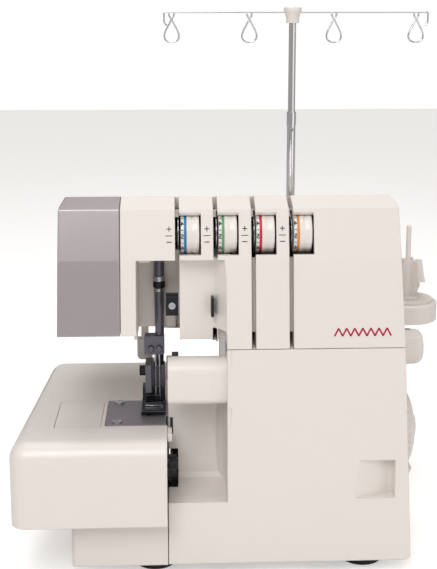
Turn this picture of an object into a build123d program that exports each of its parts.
from build123d import *
import math
import os

os.makedirs("parts", exist_ok=True)

# ---------------------------------------------------------------- driving dimensions (mm)
# +X is the machine's right, +Y its back, +Z up. The origin is the middle of the footprint.
REACH_X = 187.0            # half of the whole width, cloth plate to spool stand end
REACH_Y = 126.5            # half of the whole depth, cloth plate front to spool stand back
FOOT_H = 12.0
HINGE_Y = -97.5             # the rod the looper cover tips on
HINGE_Z = 20.0
BODY_TOP = 295.4           # the ridge of the roof, which falls away to the back
BODY_FRONT = -108.5
BODY_BACK = 56.5
SEAM_Z = 184.0             # between the looper cover and the head cover
ARM_Z = 194.8              # underside of the head over the throat
PLATE_Z = 118.5            # sewing surface
WALL = 3.0                 # moulded covers
GAP = 0.5                  # between moulded covers that part from each other
SIDE_X = 122.8             # right side at the foot of the body
DRAFT = 0.0445             # the right side leans in by this much per mm of height
NECK_X = -21.3             # right end of the throat and of the waste scoop
SPLIT_X = -67.0            # left edge of the looper cover
HEAD_LEFT = -102.0         # where the head cover meets the end cap
SEW_Y = -46.5              # the plane of the needles
NEEDLE_X = -73.5
SPOOL_Y = REACH_Y - 28.0
SPOOL_X = (-62.3, 7.7, 84.3, REACH_X - 28.0)
POLE_X = 46.7
DIAL_PITCH = 28.7
DIAL_X = -49.1             # middle of the first tension dial
DIAL_Y = -70.0
DIAL_Z = 268.5
DIAL_R = 16.5
SHAFT_Y = -13.5            # main shaft and handwheel
SHAFT_Z = 86.5
SHAFT_R = 5.0
FIT = 0.05                 # radial clearance of a shaft in its hole
FRONT_PROFILE = [(-100.5, SEAM_Z), (-89.5, 251.0), (-80.5, 288.8), (-60.0, BODY_TOP)]
ROOF_BACK = [(32.0, 277.5), (BODY_BACK, 266.0)]
HEAD_PROFILE = FRONT_PROFILE + ROOF_BACK + [(BODY_BACK, SEAM_Z)]


def side_x(z):
    """The right side of the body at height z."""
    return SIDE_X - DRAFT * (z - FOOT_H)


def block(x, y, z, mode=Mode.ADD):
    """A box from three (low, high) pairs."""
    with Locations(((x[0] + x[1]) / 2, (y[0] + y[1]) / 2, (z[0] + z[1]) / 2)):
        Box(x[1] - x[0], y[1] - y[0], z[1] - z[0], mode=mode)


def rod(start, end, radius, mode=Mode.ADD):
    """A round bar between two points."""
    run = Vector(*end) - Vector(*start)
    with BuildSketch(Plane(origin=start, z_dir=run)) as section:
        Circle(radius)
    extrude(section.sketch, amount=run.length, mode=mode)


def side_solid(points, x_low, x_high, mode=Mode.ADD, inset=0.0):
    """A side view outline of (y, z) points carried across the machine from x_low to x_high."""
    with BuildSketch(Plane.YZ.offset(x_low)) as outline:
        with BuildLine():
            Polyline(*points, close=True)
        make_face()
        if inset:
            offset(amount=-inset, kind=Kind.INTERSECTION)
    extrude(outline.sketch, amount=x_high - x_low, mode=mode)


def front_solid(points, y_low, y_high, mode=Mode.ADD, radii=()):
    """A front view outline of (x, z) points carried from y_low back to y_high.

    radii is (point number, radius) for each corner that is rounded."""
    with BuildSketch(Plane.XZ.offset(-y_high)) as outline:
        with BuildLine():
            Polyline(*points, close=True)
        make_face()
        for number, radius in radii:
            corner = outline.vertices().sort_by_distance(Vector(*points[number], 0))[0]
            fillet(corner, radius)
    extrude(outline.sketch, amount=y_high - y_low, mode=mode)


def plan_solid(points, z_low, z_high, mode=Mode.ADD):
    """A plan view outline of (x, y) points carried up from z_low to z_high."""
    with BuildSketch(Plane.XY.offset(z_low)) as outline:
        with BuildLine():
            Polyline(*points, close=True)
        make_face()
    extrude(outline.sketch, amount=z_high - z_low, mode=mode)


def turned(origin, axis, profile, mode=Mode.ADD):
    """A turned piece: profile is (radius, distance along the axis from origin)."""
    plane = Plane(origin=origin, x_dir=Vector(*axis).cross(Vector(0.3, 0.5, 0.7)), z_dir=axis)
    upright = Plane(origin=origin, x_dir=plane.x_dir, z_dir=-plane.y_dir)
    with BuildSketch(upright) as outline:
        with BuildLine():
            Polyline(*profile, close=True)
        make_face()
    revolve(outline.sketch, axis=Axis(origin, axis), mode=mode)


# ---------------------------------------------------------------- covers
BIG = 400.0
RIM_FRONT = [(HEAD_LEFT, ARM_Z), (HEAD_LEFT, BODY_TOP), (side_x(BODY_TOP), BODY_TOP),
             (side_x(SEAM_Z), SEAM_Z), (NECK_X, SEAM_Z), (NECK_X, ARM_Z)]
HOLLOW_FRONT = [(HEAD_LEFT - 9, ARM_Z + WALL), (HEAD_LEFT - 9, BODY_TOP - WALL),
                (side_x(BODY_TOP) - WALL, BODY_TOP - WALL),
                (side_x(SEAM_Z - 9) - WALL, SEAM_Z - 9), (NECK_X + WALL, SEAM_Z - 9),
                (NECK_X + WALL, ARM_Z + WALL)]
SLOTS = [(-60.5, -57.3), (-31.5, -28.2), (-2.6, 0.7), (26.2, 29.5)]
SLOT_DEPTH = 10.0
SLOT_OPEN_Z = (250.5, 281.0)
POCKET_TOP = 251.0
POCKET_LEFT = -90.3
POCKET_SPLIT = SLOTS[0][1]
POCKET_BACK = -40.0        # the wall behind the needle bar
BAR_NOTCH = ((NEEDLE_X - 3.9, NEEDLE_X + 3.9), -30.5)   # the groove the two bars run in
POCKET_FOOT = 185.0        # the pocket walls hang a little below the underside
PANEL_Y = -76.0            # the lighter panel beside the needle bar
WINDOW_Z = (254.5, 281.0)
WINDOW_W = 16.5
HOLLOW_HEAD = [(-100.5, SEAM_Z - 9)] + FRONT_PROFILE + ROOF_BACK + [(90.0, 266.0),
                                                                    (90.0, SEAM_Z - 9)]

with BuildPart() as head_hollow:
    side_solid(HOLLOW_HEAD, HEAD_LEFT - 9, SIDE_X, inset=WALL)
    front_solid(HOLLOW_FRONT, -BIG / 2, BIG / 2, mode=Mode.INTERSECT)

with BuildPart() as slot_backing:
    for low, high in SLOTS:
        side_solid(HEAD_PROFILE, low - 0.8, high + 0.8)
    side_solid(HEAD_PROFILE, HEAD_LEFT, SIDE_X, mode=Mode.SUBTRACT, inset=SLOT_DEPTH + 2)
    block((-BIG, BIG), (-30.0, BIG), (0, BIG), mode=Mode.SUBTRACT)
    block((-BIG, BIG), (-BIG, BIG), SLOT_OPEN_Z, mode=Mode.SUBTRACT)

with BuildPart() as slot_groove:
    for low, high in SLOTS:
        side_solid(HEAD_PROFILE, low, high)
    side_solid(HEAD_PROFILE, HEAD_LEFT, SIDE_X, mode=Mode.SUBTRACT, inset=SLOT_DEPTH)
    block((-BIG, BIG), (-35.0, BIG), (0, BIG), mode=Mode.SUBTRACT)
    block((-BIG, BIG), (-BIG, BIG), (0, SEAM_Z + 0.1), mode=Mode.SUBTRACT)

with BuildPart() as head_cover:
    side_solid(HEAD_PROFILE, HEAD_LEFT, SIDE_X)
    front_solid(RIM_FRONT, -BIG / 2, BIG / 2, mode=Mode.INTERSECT, radii=[(2, 7.0)])
    add(head_hollow.part, mode=Mode.SUBTRACT)
    # walls of the needle pocket, kept just inside the front face
    side_solid([(-98.0, ARM_Z), (-88.0, POCKET_TOP), (-85.0, POCKET_TOP + 2.5),
                (POCKET_BACK + 2.5, POCKET_TOP + 2.5), (POCKET_BACK + 2.5, POCKET_FOOT),
                (PANEL_Y, POCKET_FOOT), (PANEL_Y, ARM_Z)], POCKET_LEFT - 2.5, NECK_X + WALL)
    block((BAR_NOTCH[0][0] - 2.5, BAR_NOTCH[0][1] + 2.5), (POCKET_BACK, BAR_NOTCH[1] + 2.5),
          (ARM_Z, POCKET_TOP + 2.5))
    add(slot_backing.part)
    block((POCKET_LEFT, POCKET_SPLIT), (-BIG, POCKET_BACK), (0, POCKET_TOP), mode=Mode.SUBTRACT)
    block((BAR_NOTCH[0][0], BAR_NOTCH[0][1]), (-BIG, BAR_NOTCH[1]), (0, POCKET_TOP),
          mode=Mode.SUBTRACT)
    plan_solid([(POCKET_SPLIT - 1, -BIG), (POCKET_SPLIT - 1, PANEL_Y), (-30.0, PANEL_Y),
                (NECK_X - 0.5, BODY_FRONT + 17), (NECK_X - 0.5, -BIG)], 0, POCKET_TOP,
               mode=Mode.SUBTRACT)
    block((POCKET_SPLIT + 3, NECK_X - 1), (PANEL_Y + 2.5, POCKET_BACK),
          (POCKET_FOOT + WALL, POCKET_TOP - 2), mode=Mode.SUBTRACT)
    add(slot_groove.part, mode=Mode.SUBTRACT)
    for low, high in SLOTS:
        block((low, high), (-BIG, -60.0), SLOT_OPEN_Z, mode=Mode.SUBTRACT)
    for number in range(4):
        middle = DIAL_X + DIAL_PITCH * number
        window = (middle - WINDOW_W / 2, middle + WINDOW_W / 2)
        block(window, (-BIG, -60.0), WINDOW_Z, mode=Mode.SUBTRACT)
        rod((window[0], DIAL_Y, DIAL_Z), (window[1], DIAL_Y, DIAL_Z), DIAL_R + 0.8,
            mode=Mode.SUBTRACT)
        side_solid([(-95, WINDOW_Z[1] - 0.1), (-76.0, WINDOW_Z[1] - 0.1), (-81.5, 286.4),
                    (-95, 286.4)], window[0], window[1], mode=Mode.SUBTRACT)
    # the way through the pocket's roof for the needle bar and the presser bar
    block((NEEDLE_X - 8, NEEDLE_X + 9), (SEW_Y - 8, BAR_NOTCH[1]), (POCKET_TOP - 1, 270.0),
          mode=Mode.SUBTRACT)
    # the way through the underside for the presser foot lifter
    block((-95.0, -78.5), (-22.0, 14.0), (ARM_Z - 1, ARM_Z + WALL + 0.5), mode=Mode.SUBTRACT)
    # pressure screw in the top
    rod((NEEDLE_X, -35.0, 280.0), (NEEDLE_X, -35.0, 310.0), 7.4, mode=Mode.SUBTRACT)
head_cover.part.label = "head_cover"
export_step(head_cover.part, "parts/head_cover.step")

CAP_LEFT = -150.0
with BuildPart() as end_cap:
    side_solid([(-98.7, ARM_Z)] + HEAD_PROFILE[1:6] + [(BODY_BACK, ARM_Z)], CAP_LEFT,
               HEAD_LEFT - GAP)
    front_solid([(CAP_LEFT, ARM_Z), (CAP_LEFT + 1.5, BODY_TOP), (HEAD_LEFT, BODY_TOP),
                 (HEAD_LEFT, ARM_Z)], -BIG / 2, BIG / 2, mode=Mode.INTERSECT,
                radii=[(1, 8.0)])
    side_solid([(-98.7, ARM_Z)] + HEAD_PROFILE[1:6] + [(BODY_BACK, ARM_Z)],
               CAP_LEFT + WALL + 2, HEAD_LEFT, mode=Mode.SUBTRACT, inset=WALL)
end_cap.part.label = "end_cap"
export_step(end_cap.part, "parts/end_cap.step")

TRAY_TOP = 50.0
TRAY_FLOOR = 20.0
with BuildPart() as base_tray:
    block((-142.3, SPLIT_X - 0.6), (BODY_FRONT, BODY_BACK), (FOOT_H, TRAY_TOP))
    block((-142.3 + WALL, SPLIT_X + 9), (BODY_FRONT + WALL, BODY_BACK - WALL),
          (FOOT_H + WALL, TRAY_TOP + 9), mode=Mode.SUBTRACT)
    block((SPLIT_X - 0.7, side_x(TRAY_FLOOR)), (-86.5, BODY_BACK), (FOOT_H, TRAY_FLOOR))
    block((SPLIT_X - 9, side_x(TRAY_FLOOR) - WALL), (-83.5, BODY_BACK - WALL),
          (FOOT_H + WALL, TRAY_FLOOR + 9), mode=Mode.SUBTRACT)
    fillet(base_tray.edges().filter_by(Axis.Z).group_by(Axis.X)[0], 4.0)
base_tray.part.label = "base_tray"
export_step(base_tray.part, "parts/base_tray.step")

FOOT_R = 17.5
FEET = [(x, y) for x in (-77.8, 88.7) for y in (-76.5, 36.0)]
with BuildPart() as rubber_feet:
    for x, y in FEET:
        rod((x, y, 0), (x, y, FOOT_H), FOOT_R)
    chamfer(rubber_feet.edges().group_by(Axis.Z)[0], 1.0)
rubber_feet.part.label = "rubber_feet"
export_step(rubber_feet.part, "parts/rubber_feet.step")

SIDE_OUT = [(side_x(TRAY_FLOOR + GAP), TRAY_FLOOR + GAP), (side_x(SEAM_Z - GAP), SEAM_Z - GAP)]
WHEEL_R = 33.5
KNOB_Z = 157.0
SWITCH_Y = -78.0
SWITCH_Z = 70.0
INLET_Z = 45.0
with BuildPart() as rear_cover:
    front_solid(SIDE_OUT + [(x - WALL, z) for x, z in SIDE_OUT[::-1]], -89.0, BODY_BACK)
    front_solid([(NECK_X, TRAY_FLOOR + GAP), (NECK_X, SEAM_Z - GAP), SIDE_OUT[1], SIDE_OUT[0]],
                BODY_BACK - WALL, BODY_BACK)
    block((NECK_X + 0.5, NECK_X + WALL), (-57.5, BODY_BACK), (PLATE_Z, SEAM_Z - GAP))
    block((HEAD_LEFT + 1, NECK_X + 9), (BODY_BACK - WALL, BODY_BACK), (ARM_Z + WALL + GAP, 262.5))
    block((NECK_X + WALL + GAP, side_x(262.5) - WALL - GAP), (BODY_BACK - WALL, BODY_BACK),
          (SEAM_Z - 1, 262.5))
    # the low part behind and under the throat
    block((SPLIT_X + 0.4, NECK_X + 9), (BODY_BACK - WALL, BODY_BACK),
          (TRAY_FLOOR + GAP, PLATE_Z - 1.5))
    block((SPLIT_X + 0.4, NECK_X + WALL), (-22.0, BODY_BACK), (PLATE_Z - 4.5, PLATE_Z - 1.5))
    rod((100.0, SHAFT_Y, SHAFT_Z), (130.0, SHAFT_Y, SHAFT_Z), 8.0, mode=Mode.SUBTRACT)
    rod((100.0, SHAFT_Y, KNOB_Z), (130.0, SHAFT_Y, KNOB_Z), 4.5, mode=Mode.SUBTRACT)
    block((110.0, 130.0), (SWITCH_Y - 8, SWITCH_Y + 8), (SWITCH_Z - 11, SWITCH_Z + 11),
          mode=Mode.SUBTRACT)
    block((110.0, 130.0), (-49.0, -29.0), (INLET_Z - 9, INLET_Z + 9), mode=Mode.SUBTRACT)
rear_cover.part.label = "rear_cover"
export_step(rear_cover.part, "parts/rear_cover.step")

COVER_LOW = FOOT_H + GAP
COVER_HIGH = SEAM_Z - GAP
SCOOP_Z = (62.5, 138.0)
LIP_TOP = 173.5
LIP_Y = (-97.0, -83.0)
with BuildPart() as cover_hollow:
    side_solid([(BODY_FRONT + WALL + 0.3, COVER_LOW + WALL), (-97.2, COVER_HIGH - WALL),
                (-60.0, COVER_HIGH - WALL), (-60.0, COVER_LOW + WALL)], SPLIT_X + WALL, SIDE_X)
    front_solid([(SPLIT_X + WALL, COVER_LOW), (SPLIT_X + WALL, COVER_HIGH),
                 (side_x(COVER_HIGH) - WALL, COVER_HIGH), (side_x(COVER_LOW) - WALL, COVER_LOW)],
                -BIG / 2, BIG / 2, mode=Mode.INTERSECT)
with BuildPart() as scoop_space:
    side_solid([(-130.0, SCOOP_Z[0]), (-90.0, SCOOP_Z[0]), (-67.0, 65.5), (-63.5, 69.0),
                (-62.0, 82.0), (-61.0, 110.0), (-63.0, 128.0), (-69.0, SCOOP_Z[1]),
                (-130.0, SCOOP_Z[1])], SPLIT_X - 1, NECK_X)
    plan_solid([(SPLIT_X - 1, -130.0), (NECK_X, -130.0), (NECK_X, -74.0), (NECK_X - 2.0, -67.0),
                (NECK_X - 7.0, -62.0), (NECK_X - 14.0, -60.0), (SPLIT_X - 1, -60.0)], 0, SEAM_Z,
               mode=Mode.INTERSECT)
with BuildPart() as lip:
    block((SPLIT_X, NECK_X), LIP_Y, (SCOOP_Z[1] - 0.1, LIP_TOP))
    fillet(lip.edges().filter_by(Axis.X).group_by(Axis.Y)[0].sort_by(Axis.Z)[-1], 12.0)
    fillet(lip.edges().filter_by(Axis.X).group_by(Axis.Y)[0].sort_by(Axis.Z)[0], 6.0)
    side_solid([(LIP_Y[0] + WALL, SCOOP_Z[1] + WALL + 3), (LIP_Y[0] + WALL, LIP_TOP - 11),
                (LIP_Y[0] + 9, LIP_TOP - WALL - 1), (0, LIP_TOP - WALL - 1),
                (0, SCOOP_Z[1] + WALL), (LIP_Y[0] + WALL + 3, SCOOP_Z[1] + WALL)],
               SPLIT_X + WALL, NECK_X, mode=Mode.SUBTRACT)
BRACKET_X = (-24.0, 60.0)
GRIP_X = (78.7, 109.2)
GRIP_Z = (63.6, 94.2)
with BuildPart() as looper_cover:
    side_solid([(BODY_FRONT, COVER_LOW), (-100.5, COVER_HIGH), (-90.0, COVER_HIGH),
                (-90.0, COVER_LOW)], SPLIT_X, SIDE_X)
    front_solid([(SPLIT_X, COVER_LOW), (SPLIT_X, COVER_HIGH), (side_x(COVER_HIGH), COVER_HIGH),
                 (side_x(COVER_LOW), COVER_LOW)], -BIG / 2, BIG / 2, mode=Mode.INTERSECT,
                radii=[(3, 4.0)])
    add(cover_hollow.part, mode=Mode.SUBTRACT)
    block((SPLIT_X - 1, NECK_X), (-BIG, 0.0), (SCOOP_Z[1], BIG), mode=Mode.SUBTRACT)
    block((SPLIT_X, NECK_X + WALL), (-103.5, -58.5), (SCOOP_Z[0] - WALL, SCOOP_Z[1]))
    side_solid([(-102.0, SCOOP_Z[1]), (-101.0, COVER_HIGH), (-93.0, COVER_HIGH),
                (LIP_Y[1], LIP_TOP), (LIP_Y[1], SCOOP_Z[1])], NECK_X, NECK_X + WALL)
    plan_solid([(GRIP_X[0] - 3, -103.5), (GRIP_X[1] - 4, -92.0), (GRIP_X[1] + WALL, -92.0),
                (GRIP_X[1] + WALL, -103.5)], GRIP_Z[0] - WALL, GRIP_Z[1] + WALL)
    add(scoop_space.part, mode=Mode.SUBTRACT)
    # what the knife knob and the finger tab pass through as the cover comes forward
    block((SPLIT_X - 1, -59.4), (-80.0, -50.0), (57.0, 88.5), mode=Mode.SUBTRACT)
    block((SPLIT_X - 1, -63.4), (-80.0, -50.0), (101.0, 115.0), mode=Mode.SUBTRACT)
    add(lip.part)
    plan_solid([(GRIP_X[0], -130.0), (GRIP_X[0], -105.6), (GRIP_X[1] - 4, -95.5),
                (GRIP_X[1], -95.5), (GRIP_X[1], -130.0)], *GRIP_Z, mode=Mode.SUBTRACT)
    # ears for the hinge rod, hanging from the inside of the lower edge
    for x in (-50.0, 90.0):
        block((x, x + 8.0), (-104.9, -92.0), (COVER_LOW + 0.1, 27.0))
    rod((-60.0, HINGE_Y, HINGE_Z), (115.0, HINGE_Y, HINGE_Z), 3.0 + FIT, mode=Mode.SUBTRACT)
    block((-BIG, BIG), (-92.0, -80.0), (0, 28.0), mode=Mode.SUBTRACT)
    for x in BRACKET_X:
        block((x - 13.0, x + 10.0), (-104.0, -80.0), (0, 16.0), mode=Mode.SUBTRACT)
looper_cover.part.label = "looper_cover"
export_step(looper_cover.part, "parts/looper_cover.step")

with BuildPart() as cover_hinge_rod:
    rod((-46.0, HINGE_Y, HINGE_Z), (112.0, HINGE_Y, HINGE_Z), 3.0)
cover_hinge_rod.part.label = "cover_hinge_rod"
export_step(cover_hinge_rod.part, "parts/cover_hinge_rod.step")

PLATE_RIGHT = SPLIT_X - 0.6
PLATE_BACK = 66.5
PLATE_LOW = 53.0
NOTCH_X = -116.4
PLATE_SCREW_X = -107.2
PLATE_SCREW_Y = (-38.0, -80.5)
NOTCH_Y = (-86.8, -32.2)
LID_X = (-155.8, NOTCH_X - 3)
with BuildPart() as cloth_plate:
    plan_solid([(PLATE_RIGHT, -REACH_Y), (-185.0, -REACH_Y), (-REACH_X, -112.0),
                (-176.0, PLATE_BACK), (PLATE_RIGHT, PLATE_BACK)], PLATE_LOW, PLATE_Z)
    fillet(cloth_plate.edges().filter_by(Axis.Z).group_by(Axis.X)[0:2], 12.0)
    fillet(cloth_plate.faces().sort_by(Axis.Z)[-1].edges().group_by(Axis.Y)[0], 14.0)
    plan_solid([(0.0, -REACH_Y + WALL), (-182.0, -REACH_Y + WALL), (-183.5, -112.0),
                (-172.8, PLATE_BACK - WALL), (0.0, PLATE_BACK - WALL)], 0, PLATE_Z - 15,
               mode=Mode.SUBTRACT)
    plan_solid([(0.0, -110.0), (-181.5, -110.0), (-171.5, PLATE_BACK - WALL),
                (0.0, PLATE_BACK - WALL)], 0, PLATE_Z - WALL, mode=Mode.SUBTRACT)
    block((NOTCH_X, 0.0), NOTCH_Y, (PLATE_Z - 9, PLATE_Z + 9), mode=Mode.SUBTRACT)
    block(LID_X, (-88.5, -32.5), (PLATE_Z - 1.6, PLATE_Z + 1), mode=Mode.SUBTRACT)
cloth_plate.part.label = "cloth_plate"
export_step(cloth_plate.part, "parts/cloth_plate.step")

with BuildPart() as cloth_plate_lid:
    block((LID_X[0] + 0.4, LID_X[1] - 0.2), (-88.1, -32.9), (PLATE_Z - 1.6, PLATE_Z))
    fillet(cloth_plate_lid.edges().filter_by(Axis.Z).group_by(Axis.X)[0], 2.0)
cloth_plate_lid.part.label = "cloth_plate_lid"
export_step(cloth_plate_lid.part, "parts/cloth_plate_lid.step")

# ---------------------------------------------------------------- frame inside
LOOPER_Z = 56.0
KNIFE_Z = 76.0
BAR_BRACKET_Z = (254.5, 262.0)
BUSH_R = 8.0
MAIN_BUSH_X = (-46.0, 86.0)
MOTOR_Y = 26.0
MOTOR_Z = 56.0
PRESSER_Y = -35.0
BAR_R = 3.6
PRESSER_R = 3.0
LOOPER_X = (-62.0, -44.0)
LIFTER_Y = -9.0
LIFTER_Z = 206.0
KNOB_Y = -77.0
KNIFE_KNOB_Z = 80.6
with BuildPart() as base_frame:
    block((-124.0, 104.0), (-72.0, 48.0), (21.0, 29.0))
    block((-124.0, -112.0), (-84.0, -34.0), (21.0, 114.8))
    block((-116.0, -112.0), (-84.0, -34.0), (21.0, 116.8))
    block((-113.0, -70.0), (-86.0, -81.0), (21.0, 116.8))
    block((-113.0, -70.0), (-36.0, -33.0), (90.0, 116.8))
    block((-12.0, 8.0), (5.0, 45.0), (21.0, 262.0))
    block((-140.0, 8.0), (5.0, 45.0), (240.0, 262.0))
    block((-84.0, -62.0), (-54.0, 6.0), BAR_BRACKET_Z)
    block((-1.0, 100.0), (2.0, 40.0), (195.0, 205.0))
    for x in MAIN_BUSH_X:
        block((x, x + 10.0), (SHAFT_Y - 13, SHAFT_Y + 13), (21.0, SHAFT_Z + 13))
        rod((x - 1, SHAFT_Y, SHAFT_Z), (x + 11, SHAFT_Y, SHAFT_Z), BUSH_R, mode=Mode.SUBTRACT)
    block((-72.0, -38.0), (-36.0, -27.0), (21.0, LOOPER_Z + 8))
    block((-76.0, -70.0), (KNOB_Y - 6, KNOB_Y + 6), (29.0, KNIFE_KNOB_Z + 8))
    rod((-77.0, KNOB_Y, KNIFE_KNOB_Z), (-69.0, KNOB_Y, KNIFE_KNOB_Z), 2.5 + FIT,
        mode=Mode.SUBTRACT)
    for x in LOOPER_X:
        rod((x, -40.0, LOOPER_Z), (x, -20.0, LOOPER_Z), 3.5 + FIT, mode=Mode.SUBTRACT)
    block((-57.0, -49.0), (-40.0, -27.0), (LOOPER_Z + 6, KNIFE_Z + 7))
    rod((-60.0, -34.0, KNIFE_Z), (-45.0, -34.0, KNIFE_Z), 3.5 + FIT, mode=Mode.SUBTRACT)
    block((-74.0, -67.6), (-44.0, -36.0), (92.0, 106.0))
    for y in (SEW_Y, PRESSER_Y):
        rod((NEEDLE_X, y, 250.0), (NEEDLE_X, y, 275.0), 5.5, mode=Mode.SUBTRACT)
base_frame.part.label = "base_frame"
export_step(base_frame.part, "parts/base_frame.step")

with BuildPart() as bushes:
    for x in MAIN_BUSH_X:
        rod((x, SHAFT_Y, SHAFT_Z), (x + 10.0, SHAFT_Y, SHAFT_Z), BUSH_R)
        rod((x - 1, SHAFT_Y, SHAFT_Z), (x + 11, SHAFT_Y, SHAFT_Z), SHAFT_R + FIT,
            mode=Mode.SUBTRACT)
    for y, radius in ((SEW_Y, BAR_R), (PRESSER_Y, PRESSER_R)):
        rod((NEEDLE_X, y, BAR_BRACKET_Z[0]), (NEEDLE_X, y, BAR_BRACKET_Z[1]), 5.5)
        rod((NEEDLE_X, y, 250.0), (NEEDLE_X, y, 275.0), radius + FIT, mode=Mode.SUBTRACT)
bushes.part.label = "bushes"
export_step(bushes.part, "parts/bushes.step")

# ---------------------------------------------------------------- drive
PULLEY_X = (98.0, 106.0)
PULLEY_R = 24.0
MOTOR_PULLEY_R = 8.0
BELT = 1.6
with BuildPart() as main_shaft:
    rod((-50.0, SHAFT_Y, SHAFT_Z), (138.0, SHAFT_Y, SHAFT_Z), SHAFT_R)
    rod((-33.0, SHAFT_Y - 3, SHAFT_Z + 2), (-21.0, SHAFT_Y - 3, SHAFT_Z + 2), 12.0)
main_shaft.part.label = "main_shaft"
export_step(main_shaft.part, "parts/main_shaft.step")

with BuildPart() as belt_pulley:
    rod((PULLEY_X[0], SHAFT_Y, SHAFT_Z), (PULLEY_X[1], SHAFT_Y, SHAFT_Z), PULLEY_R)
    rod((PULLEY_X[0] - 1, SHAFT_Y, SHAFT_Z), (PULLEY_X[1] + 1, SHAFT_Y, SHAFT_Z), SHAFT_R,
        mode=Mode.SUBTRACT)
belt_pulley.part.label = "belt_pulley"
export_step(belt_pulley.part, "parts/belt_pulley.step")

WHEEL_X = 121.5
with BuildPart() as handwheel:
    turned((WHEEL_X, SHAFT_Y, SHAFT_Z), (1, 0, 0),
           [(SHAFT_R, 0.0), (WHEEL_R - 2, 0.0), (WHEEL_R, 2.0), (WHEEL_R, 10.0),
            (WHEEL_R - 2, 14.5), (WHEEL_R - 7, 18.0), (WHEEL_R - 14, 20.3), (10.0, 22.0),
            (0.0, 22.0), (0.0, 16.5), (SHAFT_R, 16.5)])
    with Locations(Plane(origin=(WHEEL_X + 6, SHAFT_Y, SHAFT_Z), z_dir=(1, 0, 0))):
        with PolarLocations(WHEEL_R + 1.2, 30):
            Cylinder(2.0, 8.0, mode=Mode.SUBTRACT)
handwheel.part.label = "handwheel"
export_step(handwheel.part, "parts/handwheel.step")

with BuildPart() as motor:
    rod((22.0, MOTOR_Y, MOTOR_Z), (80.0, MOTOR_Y, MOTOR_Z), 24.0)
    fillet(motor.edges(), 3.0)
    block((30.0, 72.0), (MOTOR_Y - 16, MOTOR_Y + 16), (29.0, MOTOR_Z - 10))
    rod((70.0, MOTOR_Y, MOTOR_Z), (90.0, MOTOR_Y, MOTOR_Z), 3.0 + FIT, mode=Mode.SUBTRACT)
motor.part.label = "motor"
export_step(motor.part, "parts/motor.step")

with BuildPart() as motor_pulley:
    rod((71.0, MOTOR_Y, MOTOR_Z), (110.0, MOTOR_Y, MOTOR_Z), 3.0)
    rod((PULLEY_X[0], MOTOR_Y, MOTOR_Z), (PULLEY_X[1], MOTOR_Y, MOTOR_Z), MOTOR_PULLEY_R)
motor_pulley.part.label = "motor_pulley"
export_step(motor_pulley.part, "parts/motor_pulley.step")

belt_plane = Plane.YZ.offset(PULLEY_X[0] + 1)
with BuildPart() as drive_belt:
    with BuildSketch(belt_plane):
        for extra, mode in ((0.35 + BELT, Mode.ADD), (0.35, Mode.SUBTRACT)):
            reach = math.hypot(MOTOR_Y - SHAFT_Y, MOTOR_Z - SHAFT_Z)
            lean = math.asin((PULLEY_R - MOTOR_PULLEY_R) / reach)
            along = math.atan2(MOTOR_Z - SHAFT_Z, MOTOR_Y - SHAFT_Y)
            touch = []
            for side in (1, -1):
                turn = along + side * (math.pi / 2 - lean)
                for y, z, radius in ((SHAFT_Y, SHAFT_Z, PULLEY_R),
                                     (MOTOR_Y, MOTOR_Z, MOTOR_PULLEY_R))[::side]:
                    touch.append((y + (radius + extra) * math.cos(turn),
                                  z + (radius + extra) * math.sin(turn)))
            with Locations((SHAFT_Y, SHAFT_Z)):
                Circle(PULLEY_R + extra, mode=mode)
            with Locations((MOTOR_Y, MOTOR_Z)):
                Circle(MOTOR_PULLEY_R + extra, mode=mode)
            Polygon(*touch, align=None, mode=mode)
    extrude(amount=6.0)
drive_belt.part.label = "drive_belt"
export_step(drive_belt.part, "parts/drive_belt.step")

# ---------------------------------------------------------------- needle side
with BuildPart() as needle_plate:
    block((NOTCH_X + 0.4, -68.9), (NOTCH_Y[0] + 0.4, NOTCH_Y[1] - 0.4),
          (PLATE_Z - 1.7, PLATE_Z + 0.4))
    for x in (-83.0, -78.0):
        for y in ((-68.0, -52.0), (-44.0, -36.0)):
            block((x - 1.4, x + 1.4), y, (0, BIG), mode=Mode.SUBTRACT)
    block((-79.0, -71.0), (-48.0, -45.0), (0, BIG), mode=Mode.SUBTRACT)
    for y in PLATE_SCREW_Y:
        rod((PLATE_SCREW_X, y, 100.0), (PLATE_SCREW_X, y, 130.0), 2.0 + FIT,
            mode=Mode.SUBTRACT)
needle_plate.part.label = "needle_plate"
export_step(needle_plate.part, "parts/needle_plate.step")

with BuildPart() as fixing_screws:
    for y in PLATE_SCREW_Y:
        rod((PLATE_SCREW_X, y, PLATE_Z - 1.7), (PLATE_SCREW_X, y, PLATE_Z + 0.4), 2.0)
        rod((PLATE_SCREW_X, y, PLATE_Z + 0.4), (PLATE_SCREW_X, y, PLATE_Z + 1.6), 4.0)
        block((-112.0, -102.0), (y - 0.5, y + 0.5), (PLATE_Z + 1.0, PLATE_Z + 2),
              mode=Mode.SUBTRACT)
    rod((-63.2, -66.0, 209.5), (-63.2, -67.8, 209.5), 2.8)
    block((-67.0, -59.0), (-69.0, -67.2), (209.0, 210.0), mode=Mode.SUBTRACT)
fixing_screws.part.label = "fixing_screws"
export_step(fixing_screws.part, "parts/fixing_screws.step")

with BuildPart() as needle_bar:
    rod((NEEDLE_X, SEW_Y, 180.0), (NEEDLE_X, SEW_Y, 266.0), BAR_R)
needle_bar.part.label = "needle_bar"
export_step(needle_bar.part, "parts/needle_bar.step")

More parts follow.
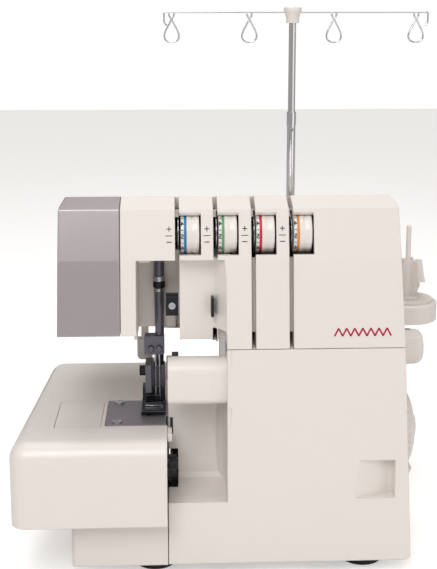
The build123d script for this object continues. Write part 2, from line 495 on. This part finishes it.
CLAMP_Z = (165.0, 180.0)
NEEDLES = (-77.0, -73.8)
with BuildPart() as needle_clamp:
    block((-85.8, -69.7), (SEW_Y - 6, SEW_Y + 5), CLAMP_Z)
    chamfer(needle_clamp.edges().filter_by(Axis.Y), 1.0)
    for x in NEEDLES:
        rod((x, SEW_Y, 160.0), (x, SEW_Y, 172.0), 1.1, mode=Mode.SUBTRACT)
    for x in (-80.5, -74.0):
        rod((x, SEW_Y - 6, 170.0), (x, SEW_Y - 8.5, 170.0), 2.0)
needle_clamp.part.label = "needle_clamp"
export_step(needle_clamp.part, "parts/needle_clamp.step")

with BuildPart() as needles:
    for x in NEEDLES:
        turned((x, SEW_Y, 118.0), (0, 0, 1),
               [(0.0, 0.0), (0.6, 4.0), (0.6, 33.0), (1.1, 35.0), (1.1, 54.0), (0.0, 54.0)])
needles.part.label = "needles"
export_step(needles.part, "parts/needles.step")

with BuildPart() as presser_bar:
    rod((NEEDLE_X, PRESSER_Y, 152.0), (NEEDLE_X, PRESSER_Y, 270.0), PRESSER_R)
presser_bar.part.label = "presser_bar"
export_step(presser_bar.part, "parts/presser_bar.step")

with BuildPart() as presser_ankle:
    block((-85.2, -69.3), (PRESSER_Y - 5, PRESSER_Y + 5), (134.0, 152.0))
    block((-85.2, -78.6), (-56.0, PRESSER_Y), (134.0, 157.0))
    block((-80.4, -65.0), (-56.5, -40.5), (130.0, 160.0), mode=Mode.SUBTRACT)
presser_ankle.part.label = "presser_ankle"
export_step(presser_ankle.part, "parts/presser_ankle.step")

with BuildPart() as ankle_screw:
    rod((-85.2, PRESSER_Y, 146.0), (-90.5, PRESSER_Y, 146.0), 4.2)
    with Locations(Plane(origin=(-88.0, PRESSER_Y, 146.0), z_dir=(1, 0, 0))):
        with PolarLocations(4.6, 12):
            Cylinder(0.7, 8.0, mode=Mode.SUBTRACT)
ankle_screw.part.label = "ankle_screw"
export_step(ankle_screw.part, "parts/ankle_screw.step")

FOOT_LOW = PLATE_Z + 0.8
with BuildPart() as presser_foot:
    side_solid([(-72.0, FOOT_LOW + 5), (-70.0, FOOT_LOW + 5), (-65.0, FOOT_LOW + 2),
                (-33.0, FOOT_LOW + 2), (-33.0, FOOT_LOW), (-66.0, FOOT_LOW)], -88.6, -69.2)
    block((-88.0, -69.5), (-42.0, -31.0), (FOOT_LOW + 1, 134.0))
    block((-86.0, -72.0), (-60.0, -41.0), (FOOT_LOW + 1, 127.0))
    block((-84.0, -71.0), (-58.0, -43.5), (0, BIG), mode=Mode.SUBTRACT)
presser_foot.part.label = "presser_foot"
export_step(presser_foot.part, "parts/presser_foot.step")

with BuildPart() as presser_spring:
    rod((NEEDLE_X, PRESSER_Y, 262.0), (NEEDLE_X, PRESSER_Y, 277.0), 4.8)
    rod((NEEDLE_X, PRESSER_Y, 261.0), (NEEDLE_X, PRESSER_Y, 278.0), 3.4, mode=Mode.SUBTRACT)
presser_spring.part.label = "presser_spring"
export_step(presser_spring.part, "parts/presser_spring.step")

with BuildPart() as pressure_screw:
    rod((NEEDLE_X, PRESSER_Y, 277.0), (NEEDLE_X, PRESSER_Y, 289.6), 7.0)
    block((NEEDLE_X - 9, NEEDLE_X + 9), (PRESSER_Y - 0.8, PRESSER_Y + 0.8), (287.8, 300.0),
          mode=Mode.SUBTRACT)
pressure_screw.part.label = "pressure_screw"
export_step(pressure_screw.part, "parts/pressure_screw.step")

with BuildPart() as presser_lifter:
    rod((-97.0, LIFTER_Y, LIFTER_Z), (-75.5, LIFTER_Y, LIFTER_Z), 3.0)
    block((-89.5, -83.5), (LIFTER_Y - 3, LIFTER_Y + 3), (152.0, LIFTER_Z))
    block((-93.0, -80.0), (LIFTER_Y - 4, LIFTER_Y + 4), (148.0, 166.0))
    fillet(presser_lifter.edges().group_by(Axis.Z)[0].filter_by(Axis.Y), 4.0)
presser_lifter.part.label = "presser_lifter"
export_step(presser_lifter.part, "parts/presser_lifter.step")

with BuildPart() as hinge_brackets:
    for x in BRACKET_X:
        block((x, x + 9.0), (-101.5, -86.5), (16.2, 24.0))
        rod((x - 1, HINGE_Y, HINGE_Z), (x + 10, HINGE_Y, HINGE_Z), 3.0 + FIT, mode=Mode.SUBTRACT)
    for x in (-97.5, -78.0):
        block((x, x + 3.0), (LIFTER_Y - 7, LIFTER_Y + 7), (ARM_Z + WALL + 0.6, 213.0))
    rod((-99.0, LIFTER_Y, LIFTER_Z), (-74.0, LIFTER_Y, LIFTER_Z), 3.0 + FIT, mode=Mode.SUBTRACT)
hinge_brackets.part.label = "hinge_brackets"
export_step(hinge_brackets.part, "parts/hinge_brackets.step")

with BuildPart() as thread_guides:
    block((-68.2, POCKET_SPLIT - 1), (-66.0, -58.0), (201.0, 218.0))
    chamfer(thread_guides.edges().filter_by(Axis.X), 0.8)
    block((-33.2, -30.8), (-84.0, -76.2), (205.0, 220.0))
    rod((-34.0, -81.0, 212.5), (-30.0, -81.0, 212.5), 1.6, mode=Mode.SUBTRACT)
thread_guides.part.label = "thread_guides"
export_step(thread_guides.part, "parts/thread_guides.step")

with BuildPart() as lamp:
    block((-89.0, -79.5), (-80.0, -56.0), (247.5, POCKET_TOP))
    fillet(lamp.edges().group_by(Axis.Z)[0].filter_by(Axis.Y), 1.5)
lamp.part.label = "lamp"
export_step(lamp.part, "parts/lamp.step")

# ---------------------------------------------------------------- loopers, knives and feed
with BuildPart() as lower_looper:
    rod((LOOPER_X[0], -53.0, LOOPER_Z), (LOOPER_X[0], -20.0, LOOPER_Z), 3.5)
    front_solid([(-66.5, 56.0), (-62.0, 50.5), (-57.5, 56.0), (-79.0, 98.0), (-74.0, 106.0),
                 (-92.0, 108.0), (-86.0, 100.0)], -53.0, -49.6)
lower_looper.part.label = "lower_looper"
export_step(lower_looper.part, "parts/lower_looper.step")

with BuildPart() as upper_looper:
    rod((LOOPER_X[1], -48.0, LOOPER_Z), (LOOPER_X[1], -20.0, LOOPER_Z), 3.5)
    front_solid([(-48.5, 56.0), (-44.0, 50.5), (-39.5, 56.0), (-50.0, 96.0), (-60.0, 112.0),
                 (-57.0, 96.0)], -48.0, -44.6)
upper_looper.part.label = "upper_looper"
export_step(upper_looper.part, "parts/upper_looper.step")

with BuildPart() as lower_knife:
    block((-67.6, -66.0), (-56.0, -37.0), (94.0, PLATE_Z + 0.2))
lower_knife.part.label = "lower_knife"
export_step(lower_knife.part, "parts/lower_knife.step")

with BuildPart() as upper_knife_arm:
    rod((-58.5, -34.0, KNIFE_Z), (-47.0, -34.0, KNIFE_Z), 3.5)
    block((-64.0, -58.5), (-38.0, -30.0), (KNIFE_Z - 5, 160.0))
    block((-64.0, -58.5), (-50.0, -34.0), (142.0, 160.0))
    block((-68.2, -58.5), (-51.0, -43.0), (158.2, 161.0))
    block((-68.2, -65.7), (-51.0, -43.0), (143.0, 161.0))
    rod((-61.0, -50.0, 151.0), (-61.0, -54.0, 151.0), 2.9)
    with Locations(Plane(origin=(-61.0, -53.0, 151.0), z_dir=(0, 1, 0))):
        with PolarLocations(3.3, 10):
            Cylinder(0.6, 6.0, mode=Mode.SUBTRACT)
upper_knife_arm.part.label = "upper_knife_arm"
export_step(upper_knife_arm.part, "parts/upper_knife_arm.step")

with BuildPart() as upper_knife:
    block((-65.5, -64.0), (-51.0, -43.0), (PLATE_Z + 0.7, 158.0))
upper_knife.part.label = "upper_knife"
export_step(upper_knife.part, "parts/upper_knife.step")

with BuildPart() as knife_knob:
    rod((-76.0, KNOB_Y, KNIFE_KNOB_Z), (-67.0, KNOB_Y, KNIFE_KNOB_Z), 2.5)
    rod((-67.1, KNOB_Y, KNIFE_KNOB_Z), (-60.4, KNOB_Y, KNIFE_KNOB_Z), 8.9)
    with Locations(Plane(origin=(-63.5, KNOB_Y, KNIFE_KNOB_Z), z_dir=(1, 0, 0))):
        with PolarLocations(9.4, 18):
            Cylinder(1.0, 9.0, mode=Mode.SUBTRACT)
knife_knob.part.label = "knife_knob"
export_step(knife_knob.part, "parts/knife_knob.step")

FEED = {"feed_dog_front": (-65.5, -54.5), "feed_dog_rear": (-42.0, -38.0)}
for name, (low, high) in FEED.items():
    with BuildPart() as feed_dog:
        block((-84.2, -76.8), (low, high), (100.0, 115.0))
        for x in (-83.0, -78.0):
            block((x - 1.0, x + 1.0), (low, high), (114.0, PLATE_Z + 0.5))
            teeth = int((high - low) / 1.6)
            for tooth in range(teeth):
                y = low + 1.2 + tooth * (high - low - 2.4) / (teeth - 1)
                side_solid([(y - 0.6, PLATE_Z + 0.6), (y, PLATE_Z - 0.4), (y + 0.1, PLATE_Z + 0.6)],
                           x - 2, x + 2, mode=Mode.SUBTRACT)
    feed_dog.part.label = name
    export_step(feed_dog.part, f"parts/{name}.step")

with BuildPart() as stitch_finger_tab:
    block((-67.4, -64.0), (-102.5, -88.5), (111.5, 117.5))
    fillet(stitch_finger_tab.edges().filter_by(Axis.Z).group_by(Axis.X)[-1], 1.0)
    block((-78.0, -67.3), (-100.0, -93.0), (112.0, 114.5))
stitch_finger_tab.part.label = "stitch_finger_tab"
export_step(stitch_finger_tab.part, "parts/stitch_finger_tab.step")

# ---------------------------------------------------------------- thread tensions
with BuildPart() as tension_frame:
    block((-61.0, 46.0), (-48.0, -40.0), (258.0, 279.0))
    block((-5.0, 8.0), (-42.0, 30.0), (262.0, 270.0))
    for low, high in SLOTS:
        block((low + 0.5, high - 1.2), (DIAL_Y - 5, -41.0), (264.0, 273.0))
    rod((-61.0, DIAL_Y, DIAL_Z), (46.0, DIAL_Y, DIAL_Z), 3.0)
tension_frame.part.label = "tension_frame"
export_step(tension_frame.part, "parts/tension_frame.step")

with BuildPart() as tension_discs:
    for low, high in SLOTS:
        rod((high - 1.1, DIAL_Y, DIAL_Z), (high - 0.4, DIAL_Y, DIAL_Z), 12.0)
    rod((-70.0, DIAL_Y, DIAL_Z), (60.0, DIAL_Y, DIAL_Z), 3.0, mode=Mode.SUBTRACT)
tension_discs.part.label = "tension_discs"
export_step(tension_discs.part, "parts/tension_discs.step")

DIAL_HALF = 7.0
for number, colour in enumerate(("blue", "green", "red", "orange")):
    middle = DIAL_X + DIAL_PITCH * number
    with BuildPart() as dial:
        turned((middle - DIAL_HALF, DIAL_Y, DIAL_Z), (1, 0, 0),
               [(3.0 + FIT, 0.0), (DIAL_R - 0.8, 0.0), (DIAL_R - 0.8, 4.6), (DIAL_R, 5.0),
                (DIAL_R, 2 * DIAL_HALF - 0.6), (DIAL_R - 0.6, 2 * DIAL_HALF),
                (3.0 + FIT, 2 * DIAL_HALF)])
    dial.part.label = f"tension_dial_{colour}"
    export_step(dial.part, f"parts/tension_dial_{colour}.step")

# ---------------------------------------------------------------- right side
DIAL_BASE = 117.2
with BuildPart() as stitch_length_dial:
    rod((106.0, SHAFT_Y, KNOB_Z), (DIAL_BASE + 1, SHAFT_Y, KNOB_Z), 4.0)
    turned((DIAL_BASE, SHAFT_Y, KNOB_Z), (1, 0, 0),
           [(0.0, 0.0), (15.4, 0.0), (14.8, 24.0), (13.2, 28.5), (9.8, 30.6), (0.0, 30.6)])
    with Locations(Plane(origin=(DIAL_BASE + 16, SHAFT_Y, KNOB_Z), z_dir=(1, 0, 0))):
        with PolarLocations(16.0, 24):
            Cylinder(1.4, 22.0, mode=Mode.SUBTRACT)
stitch_length_dial.part.label = "stitch_length_dial"
export_step(stitch_length_dial.part, "parts/stitch_length_dial.step")

with BuildPart() as switch_bezel:
    block((116.5, 122.3), (SWITCH_Y - 7.9, SWITCH_Y + 7.9), (SWITCH_Z - 10.9, SWITCH_Z + 10.9))
    block((115.0, 125.0), (SWITCH_Y - 6.0, SWITCH_Y + 6.0), (SWITCH_Z - 9.6, SWITCH_Z + 9.6),
          mode=Mode.SUBTRACT)
switch_bezel.part.label = "switch_bezel"
export_step(switch_bezel.part, "parts/switch_bezel.step")

with BuildPart() as power_switch:
    side = [(117.0, SWITCH_Z - 8.2), (124.5, SWITCH_Z - 8.2), (123.0, SWITCH_Z),
            (126.8, SWITCH_Z + 8.2), (117.0, SWITCH_Z + 8.2)]
    front_solid(side, SWITCH_Y - 5.5, SWITCH_Y + 5.5)
    rod((120.0, SWITCH_Y - 5.85, SWITCH_Z), (120.0, SWITCH_Y + 5.85, SWITCH_Z), 1.6)
power_switch.part.label = "power_switch"
export_step(power_switch.part, "parts/power_switch.step")

with BuildPart() as power_inlet:
    block((106.0, 122.4), (-48.8, -29.2), (INLET_Z - 8.8, INLET_Z + 8.8))
    block((109.0, 130.0), (-46.0, -32.0), (INLET_Z - 6.0, INLET_Z + 6.0), mode=Mode.SUBTRACT)
    for y in (-42.5, -35.5):
        rod((108.0, y, INLET_Z), (119.0, y, INLET_Z), 1.2)
power_inlet.part.label = "power_inlet"
export_step(power_inlet.part, "parts/power_inlet.step")

# ---------------------------------------------------------------- thread stand
STAND_Z = (150.0, 167.5)
STAND_R = 28.0
PIN_R = 2.35
PIN_ROOT_R = 2.6
HOLDER_TOP = 206.0
POLE_R = 3.85
POLE_BORE = 3.3
COLLAR_Z = (333.5, 346.0)
BUTTON_Z = 330.0
CAP_Z = 426.0
WIRE_R = 0.85
WIRE_Z = 435.6
with BuildPart() as spool_stand:
    for inset, low, mode in ((0.0, STAND_Z[0], Mode.ADD), (WALL, STAND_Z[0] + 2, Mode.SUBTRACT)):
        high = STAND_Z[1] - inset
        block((SPOOL_X[0], SPOOL_X[3]), (SPOOL_Y - STAND_R + inset, SPOOL_Y + STAND_R - inset),
              (low, high), mode=mode)
        for x in (SPOOL_X[0], SPOOL_X[3]):
            rod((x, SPOOL_Y, low), (x, SPOOL_Y, high), STAND_R - inset, mode=mode)
    fillet(spool_stand.edges().group_by(Axis.Z)[-1], 2.5)
    block((20.0, 74.0), (BODY_BACK + 0.3, SPOOL_Y - STAND_R + WALL), (128.0, STAND_Z[1] - 3))
    for x in SPOOL_X + (POLE_X,):
        rod((x, SPOOL_Y, STAND_Z[0]), (x, SPOOL_Y, STAND_Z[1] - 1), 8.0)
    for x in SPOOL_X:
        rod((x, SPOOL_Y, STAND_Z[0] + 3), (x, SPOOL_Y, 200.0), PIN_ROOT_R, mode=Mode.SUBTRACT)
    rod((POLE_X, SPOOL_Y, 100.0), (POLE_X, SPOOL_Y, 200.0), POLE_R, mode=Mode.SUBTRACT)
spool_stand.part.label = "spool_stand"
export_step(spool_stand.part, "parts/spool_stand.step")

with BuildPart() as spool_pins:
    for x in SPOOL_X:
        rod((x, SPOOL_Y, STAND_Z[0] + 3), (x, SPOOL_Y, HOLDER_TOP + 1), PIN_ROOT_R)
        rod((x, SPOOL_Y, HOLDER_TOP + 1), (x, SPOOL_Y, 239.0), PIN_R)
    chamfer(spool_pins.edges().group_by(Axis.Z)[-1], 0.8)
spool_pins.part.label = "spool_pins"
export_step(spool_pins.part, "parts/spool_pins.step")

with BuildPart() as spool_pads:
    for x in SPOOL_X:
        rod((x, SPOOL_Y, STAND_Z[1]), (x, SPOOL_Y, STAND_Z[1] + 1.8), 24.0)
        rod((x, SPOOL_Y, STAND_Z[1] - 1), (x, SPOOL_Y, STAND_Z[1] + 9), PIN_ROOT_R + FIT,
            mode=Mode.SUBTRACT)
spool_pads.part.label = "spool_pads"
export_step(spool_pads.part, "parts/spool_pads.step")

FIN = 1.6
with BuildPart() as cone_holders:
    for x in SPOOL_X:
        for turn in range(3):
            across = Plane(origin=(x, SPOOL_Y, 0), x_dir=Vector(1, 0, 0).rotate(Axis.Z, 60 * turn),
                           z_dir=Vector(0, -1, 0).rotate(Axis.Z, 60 * turn))
            with BuildSketch(across.offset(-FIN / 2)) as fin:
                with BuildLine():
                    Polyline((9.0, 169.5), (9.0, 173.0), (12.0, 181.0), (12.0, 184.0),
                             (17.0, 184.0), (13.0, 206.0), (-13.0, 206.0), (-17.0, 184.0),
                             (-12.0, 184.0), (-12.0, 181.0), (-9.0, 173.0), (-9.0, 169.5),
                             close=True)
                make_face()
            extrude(fin.sketch, amount=FIN)
        rod((x, SPOOL_Y, 169.5), (x, SPOOL_Y, HOLDER_TOP), 4.8)
        rod((x, SPOOL_Y, 169.5), (x, SPOOL_Y, 172.0), 11.0)
        rod((x, SPOOL_Y, 160.0), (x, SPOOL_Y, 210.0), PIN_ROOT_R + FIT, mode=Mode.SUBTRACT)
cone_holders.part.label = "cone_holders"
export_step(cone_holders.part, "parts/cone_holders.step")

with BuildPart() as pole_lower:
    rod((POLE_X, SPOOL_Y, STAND_Z[0]), (POLE_X, SPOOL_Y, COLLAR_Z[1]), POLE_R)
    rod((POLE_X, SPOOL_Y, COLLAR_Z[0]), (POLE_X, SPOOL_Y, COLLAR_Z[1]), POLE_R + 0.4)
    rod((POLE_X, SPOOL_Y, 100.0), (POLE_X, SPOOL_Y, 400.0), POLE_BORE, mode=Mode.SUBTRACT)
    rod((POLE_X, SPOOL_Y, BUTTON_Z), (POLE_X, SPOOL_Y - 9, BUTTON_Z), 1.6, mode=Mode.SUBTRACT)
pole_lower.part.label = "pole_lower"
export_step(pole_lower.part, "parts/pole_lower.step")

with BuildPart() as pole_upper:
    rod((POLE_X, SPOOL_Y, 268.0), (POLE_X, SPOOL_Y, CAP_Z + 6), POLE_BORE - FIT)
    rod((POLE_X, SPOOL_Y, 260.0), (POLE_X, SPOOL_Y, 400.0), POLE_BORE - 0.7, mode=Mode.SUBTRACT)
pole_upper.part.label = "pole_upper"
export_step(pole_upper.part, "parts/pole_upper.step")

with BuildPart() as pole_button:
    rod((POLE_X, SPOOL_Y - 3.75, BUTTON_Z), (POLE_X, SPOOL_Y - 4.9, BUTTON_Z), 1.4)
pole_button.part.label = "pole_button"
export_step(pole_button.part, "parts/pole_button.step")

with BuildPart() as pole_cap:
    turned((POLE_X, SPOOL_Y, CAP_Z), (0, 0, 1),
           [(0.0, 0.0), (5.75, 0.0), (5.75, 4.0), (6.6, 7.5), (8.0, 10.5), (8.0, 13.4),
            (7.4, 14.0), (0.0, 14.0)])
    rod((POLE_X, SPOOL_Y, CAP_Z - 1), (POLE_X, SPOOL_Y, CAP_Z + 6.1), POLE_BORE,
        mode=Mode.SUBTRACT)
    rod((POLE_X - 20, SPOOL_Y, WIRE_Z), (POLE_X + 20, SPOOL_Y, WIRE_Z), WIRE_R + 0.02,
        mode=Mode.SUBTRACT)
pole_cap.part.label = "pole_cap"
export_step(pole_cap.part, "parts/pole_cap.step")

BAR_ENDS = (-69.9, 170.6)
HOOK_R = 0.75


def bent_wire(points, radius):
    """Wire of straight runs, with a ball at each bend."""
    for start, end in zip(points, points[1:]):
        rod(start, end, radius)
    for point in points[1:-1]:
        with Locations(point):
            Sphere(radius + 0.05)


with BuildPart() as thread_guide_bar:
    rod((BAR_ENDS[0], SPOOL_Y, WIRE_Z), (BAR_ENDS[1], SPOOL_Y, WIRE_Z), WIRE_R)
    for end, side in zip(BAR_ENDS, (1, -1)):
        bent_wire([(end + 0.9 * side, SPOOL_Y, WIRE_Z), (end + 0.9 * side, SPOOL_Y, WIRE_Z - 9),
                   (end + 3.5 * side, SPOOL_Y, WIRE_Z - 12)], WIRE_R - 0.1)
    for x in SPOOL_X:
        bent_wire([(x - 2.0, SPOOL_Y - 1.1, WIRE_Z), (x + 5.9, SPOOL_Y - 0.8, 416.0),
                   (x + 5.2, SPOOL_Y - 0.5, 411.5), (x, SPOOL_Y, 408.6),
                   (x - 5.2, SPOOL_Y + 0.5, 411.5), (x - 5.9, SPOOL_Y + 0.8, 416.0),
                   (x + 2.0, SPOOL_Y + 1.1, WIRE_Z)], HOOK_R)
thread_guide_bar.part.label = "thread_guide_bar"
export_step(thread_guide_bar.part, "parts/thread_guide_bar.step")
